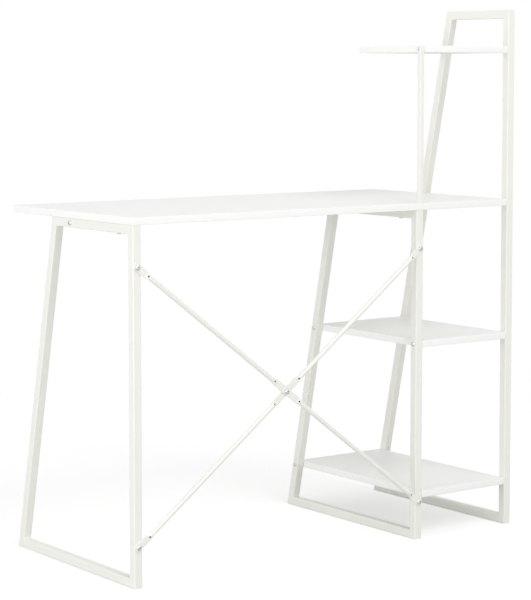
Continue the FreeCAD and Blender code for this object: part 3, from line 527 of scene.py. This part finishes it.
# Fasteners: button-head screws and bolts with a hexagon socket, cold headed from steel wire,
# rolled and bright zinc plated. The post's screw has a low flat head, and a hexagon nut sits
# behind the crossing of the braces.
ZINC_LIGHT = "#E4E5E2"
ZINC_DARK = "#D3D4D1"
ZINC_CLOUD = 0.0018  # patches that the plating bath leaves
ZINC_BUMP = {"Strength": 0.15, "Distance": 0.00003}
ZINC_ROUGHNESS = (0.45, 0.3)
HEAD_RIM = 0.0005
BOLT_RADIUS = 0.003
SCREW_RADIUS = 0.0025
SHANK_CHAMFER = 0.0006
HEXAGON_OVER_CORNERS = 2 / math.sqrt(3)  # times the width across the flats
HEAD_CHAMFER = 0.00015
DOME_STEPS = 9
CROWN = 1.18  # radius where the dome ends, over the socket's corner
SOCKET_MOUTH = 1.06  # the same for the socket's chamfered mouth
DRILL_CONE = 0.12  # depth of the cone at the socket's floor, over the socket's width
M6_HEAD = (0.0055, 0.0033, 0.004, 0.0026)  # radius, height, width and depth of the socket
M5_HEAD = (0.00475, 0.00275, 0.003, 0.0015)
FLAT_HEAD = (0.0042, 0.0013, 0.002, 0.0005)
BOARD_SCREW = 0.053  # lengths under the head
RAIL_BOLT = 0.038
DESKTOP_SCREW = 0.030
BRACE_END_BOLT = 0.016
BRACE_CENTRE_BOLT = 0.0108
POST_SCREW = 0.045
NUT_ACROSS = 0.010
NUT_HEIGHT = 0.005
NUT_CHAMFER = 0.0006
NUT_FACE = 0.97  # radius of the nut's flat face over half its width
NUT_STEPS = 5
RING_STEPS = 48
UNBOUND = 1.0  # a radius so large that it never counts
LOW_BAR = 0.711  # underside of the low frames' top bars
RAIL_SCREW_PLACES = (0.341, -0.074)  # across the desk, for the screws from the rail
SCREW_BACK = 0.16845  # depth of the screws from the top bars
RAIL_Y = -0.00655  # the front rail's middle
BOARD_SCREW_BACK = 0.22395  # the upright legs' middle
BOARD_MIDDLES = (0.0995, 0.4345, 0.7375, 1.0805)  # bottom, middle shelf, desktop, top shelf


def zinc_plate():
    """Bright zinc plate on steel: grey metal whose gloss changes a little from place to place."""
    material, shader, place = new_finish("zinc_plated_steel", {"Metallic": 1.0})
    cloud = add_node(material, "ShaderNodeTexNoise", {"Scale": 1 / ZINC_CLOUD, "Detail": 3.0},
                     {"Vector": place})
    two_tones(material, shader, cloud.outputs["Fac"], ZINC_DARK, ZINC_LIGHT, ZINC_ROUGHNESS)
    bump = add_node(material, "ShaderNodeBump", ZINC_BUMP, {"Height": cloud.outputs["Fac"]})
    material.node_tree.links.new(bump.outputs["Normal"], shader.inputs["Normal"])
    return material


def turned(rows, place, axis):
    """Rings about an axis. Each row is a circle's radius, a hexagon's radius over its corners and
    a height, and at every angle the ring takes the smaller of the two radii. At an angle a from
    the middle of its side a hexagon's radius is that over the corners times cos 30 / cos a."""
    circle, hexagon, height = (np.array(rows).T)[:, :, None]
    turn = np.linspace(0, 2 * math.pi, RING_STEPS + 1)
    straight = math.cos(math.pi / 6) / np.cos(turn % (math.pi / 3) - math.pi / 6)
    radius = np.minimum(circle, hexagon * straight)
    axis = Vector(axis)
    side = axis.orthogonal().normalized()
    up = axis.cross(side)
    ring = np.cos(turn)[:, None] * np.array(side) + np.sin(turn)[:, None] * np.array(up)
    return np.array(place) + radius[..., None] * ring + height[..., None] * np.array(axis)


def button_bolt(place, axis, shank, length, head_sizes):
    """Shank, bearing face, low rim and elliptical dome, then a hexagon socket down to a drilled
    cone. Heights are counted from the bearing face."""
    head, height, socket, depth = head_sizes
    corner = socket / 2 * HEXAGON_OVER_CORNERS
    crown = corner * CROWN
    rise = np.linspace(0, math.pi / 2, DOME_STEPS + 1)
    dome = np.stack([crown + (head - crown) * np.cos(rise), np.full(DOME_STEPS + 1, UNBOUND),
                     HEAD_RIM + (height - HEAD_RIM) * np.sin(rise)], 1)
    rows = [(0, UNBOUND, -length), (shank - SHANK_CHAMFER, UNBOUND, -length),
            (shank, UNBOUND, SHANK_CHAMFER - length), (shank, UNBOUND, 0),
            (head - HEAD_CHAMFER, UNBOUND, 0), (head, UNBOUND, HEAD_CHAMFER), *dome.tolist(),
            (UNBOUND, corner * SOCKET_MOUTH, height), (UNBOUND, corner, height - HEAD_CHAMFER),
            (UNBOUND, corner, height - depth), (0, UNBOUND, height - depth - socket * DRILL_CONE)]
    return turned(rows, place, axis), 0, EVERY_CELL


def leg_middle(height, lean):
    """The middle of a leaning leg at a height."""
    return leg_front(height, lean) + TUBE * math.hypot(1, lean) / 2


ZINC = zinc_plate()
left_x, middle_x = (FRAMES[name][0] for name in ("left_frame", "middle_frame"))
half_tube = TUBE / 2

# The tall frame holds all four boards, the middle frame only the two lower shelves.
board_screws = []
for frame_name, boards, side in (
        ("tall_frame", BOARD_MIDDLES, -1), ("middle_frame", BOARD_MIDDLES[:2], 1)):
    middle, _, lean = FRAMES[frame_name]
    for z in boards:
        for y in (BOARD_SCREW_BACK, leg_middle(z, lean)):
            board_screws.append(button_bolt((middle + side * half_tube, y, z), (side, 0, 0),
                                            SCREW_RADIUS, BOARD_SCREW, M5_HEAD))
build("board_button_screws", board_screws, "zinc_steel", ("board_screws",), ZINC)

rail_z = LOW_BAR + half_tube
build("rail_button_bolts",
      [button_bolt((middle + side * half_tube, RAIL_Y, rail_z), (side, 0, 0),
                   BOLT_RADIUS, RAIL_BOLT, M6_HEAD) for middle, side in ((left_x, 1), (middle_x, -1))],
      "zinc_steel", ("rail_bolts",), ZINC)

under_desktop = [(left_x, SCREW_BACK, LOW_BAR), (middle_x, SCREW_BACK, LOW_BAR)]
under_desktop += [(x, RAIL_Y, LOW_BAR) for x in RAIL_SCREW_PLACES]
build("desktop_button_screws",
      [button_bolt(place, (0, 0, -1), SCREW_RADIUS, DESKTOP_SCREW, M5_HEAD) for place in under_desktop],
      "zinc_steel", ("desktop_screws",), ZINC)

brace_ends = [BRACE_MIDDLE + (across * BRACE_RUN, 0, upward * BRACE_RISE)
              for across in (-1, 1) for upward in (-1, 1)]
build("brace_end_button_bolts",
      [button_bolt(place, (0, 1, 0), BOLT_RADIUS, BRACE_END_BOLT, M6_HEAD) for place in brace_ends],
      "zinc_steel", ("brace_end_bolts",), ZINC)

# A pressed flat is two walls thick: the bolt's head bears on the outer one, the nut on the inner.
crossing = BRACE_MIDDLE + (0, 2 * BRACE_WALL, 0)
build("brace_centre_button_bolt",
      [button_bolt(crossing, (0, 1, 0), BOLT_RADIUS, BRACE_CENTRE_BOLT, M6_HEAD)],
      "zinc_steel", ("brace_centre_bolt",), ZINC)

# A cone turned on both faces of the nut bevels its corners: it grows from the flat face's radius
# to the corners over the chamfer's height.
nut_corner = NUT_ACROSS / 2 * HEXAGON_OVER_CORNERS
nut_face = NUT_ACROSS / 2 * NUT_FACE
cone = np.linspace(0, NUT_CHAMFER, NUT_STEPS + 1)
limit = nut_face + cone / NUT_CHAMFER * (nut_corner - nut_face)
bevel = np.stack([limit, np.full(NUT_STEPS + 1, nut_corner), cone], 1)
far_bevel = bevel[::-1] * (1, 1, -1) + (0, 0, NUT_HEIGHT)
nut_rows = [(BOLT_RADIUS, UNBOUND, 0), *bevel.tolist(), *far_bevel.tolist(),
            (BOLT_RADIUS, UNBOUND, NUT_HEIGHT), (BOLT_RADIUS, UNBOUND, 0)]
nut = turned(nut_rows, crossing - (0, 4 * BRACE_WALL, 0), (0, -1, 0))
build("brace_centre_hexagon_nut", [(nut, 0, EVERY_CELL)], "zinc_steel", ("brace_centre_nut",), ZINC)

post_low, post_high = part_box("shelf_post")
post_screw_place = (post_high[0], (post_low[1] + post_high[1]) / 2, BOARD_MIDDLES[3])
build("post_flat_screw",
      [button_bolt(post_screw_place, (1, 0, 0), SCREW_RADIUS, POST_SCREW, FLAT_HEAD)],
      "zinc_steel", ("post_screw",), ZINC)

for name in ("rail_end_plugs", "insert_nuts", "rivet_nuts", "post_foot_pin"):
    finish_node(name, ZINC)


# Stage: a white paper floor that keeps the desk's shadow near it, a white surround, and
# four large soft lamps, most of them toward the wall side that is looked at.
FLOOR_HALF = 7.0
FLOOR_DROP = 0.0004  # keeps the floor from sharing a plane with the feet
PAPER_WHITE = "#D8D8D8"
PAPER_GLOW = 0.45  # lightens the paper for the eye only, so that the shadow on it stays faint
PAPER_FADE = (0.9, 2.2)  # from here to there the paper turns into plain white
SURROUND_LIGHT = 0.645
LAMP_AIM = Vector((0, 0, 0.6))
LAMPS = {  # place, size and share of the light
    "high_rear_lamp": ((0.0, 4.0, 4.5), 3.0, 0.327),
    "low_rear_lamp": ((2.0, 5.0, 0.8), 2.0, 0.107),
    "low_side_lamp": ((5.0, 0.5, 0.7), 2.0, 0.35),
    "overhead_lamp": ((0.0, 0.0, 4.5), 3.0, 0.051),
}
WHITE = (1, 1, 1, 1)

floor_mesh = bpy.data.meshes.new("floor")
floor_mesh.from_pydata([(x * FLOOR_HALF, y * FLOOR_HALF, -FLOOR_DROP)
                        for x, y in ((-1, -1), (1, -1), (1, 1), (-1, 1))], [], [(0, 1, 2, 3)])
floor = bpy.data.objects.new("floor", floor_mesh)
scene.collection.objects.link(floor)

floor_paper = bpy.data.materials.new("white_floor_paper")
floor_paper.use_nodes = True
floor_paper.node_tree.nodes.clear()
paper = add_node(floor_paper, "ShaderNodeBsdfDiffuse", {"Color": linear(PAPER_WHITE)})
glow = add_node(floor_paper, "ShaderNodeEmission", {"Color": WHITE, "Strength": PAPER_GLOW})
near = add_node(floor_paper, "ShaderNodeAddShader", links={0: paper.outputs[0], 1: glow.outputs[0]})
far = add_node(floor_paper, "ShaderNodeEmission", {"Color": WHITE, "Strength": 1.0})
place = add_node(floor_paper, "ShaderNodeTexCoord").outputs["Object"]
reach = add_node(floor_paper, "ShaderNodeVectorMath", {"operation": "LENGTH"}, {"Vector": place})
fade = add_node(floor_paper, "ShaderNodeMapRange", {"From Min": PAPER_FADE[0], "From Max": PAPER_FADE[1]},
                {"Value": reach.outputs["Value"]})
seen = add_node(floor_paper, "ShaderNodeMixShader",
                links={0: fade.outputs["Result"], 1: near.outputs[0], 2: far.outputs[0]})
path = add_node(floor_paper, "ShaderNodeLightPath")
by_ray = add_node(floor_paper, "ShaderNodeMixShader",
                  links={0: path.outputs["Is Camera Ray"], 1: paper.outputs[0], 2: seen.outputs[0]})
add_node(floor_paper, "ShaderNodeOutputMaterial", links={"Surface": by_ray.outputs[0]})
floor_mesh.materials.append(floor_paper)

surround = bpy.data.worlds.new("white_surround")
surround.use_nodes = True
surround.node_tree.nodes.clear()
scene.world = surround
lit = add_node(surround, "ShaderNodeBackground", {"Color": WHITE, "Strength": SURROUND_LIGHT})
shown = add_node(surround, "ShaderNodeBackground", {"Color": WHITE, "Strength": 1.0})
path = add_node(surround, "ShaderNodeLightPath")
eye_or_gloss = add_node(surround, "ShaderNodeMath", {"operation": "MAXIMUM"},
                        {0: path.outputs["Is Camera Ray"], 1: path.outputs["Is Glossy Ray"]})
or_glass = add_node(surround, "ShaderNodeMath", {"operation": "MAXIMUM"},
                    {0: eye_or_gloss.outputs[0], 1: path.outputs["Is Transmission Ray"]})
choice = add_node(surround, "ShaderNodeMixShader",
                  links={0: or_glass.outputs[0], 1: lit.outputs[0], 2: shown.outputs[0]})
add_node(surround, "ShaderNodeOutputWorld", links={"Surface": choice.outputs[0]})


def soft_lamp(name, position, size, share):
    """A square lamp that gives a face turned to it the given share of a white card's light. At
    the distance r a small one of power P gives P / (pi r)^2 of it."""
    data = bpy.data.lights.new(name, "AREA")
    data.size = size
    aim = LAMP_AIM - Vector(position)
    data.energy = share * math.pi ** 2 * aim.length_squared
    lamp = bpy.data.objects.new(name, data)
    lamp.location = position
    lamp.rotation_mode = "QUATERNION"
    lamp.rotation_quaternion = aim.to_track_quat("-Z", "Y")
    scene.collection.objects.link(lamp)


for name, (position, size, share) in LAMPS.items():
    soft_lamp(name, position, size, share)

scene.view_settings.view_transform = "Standard"
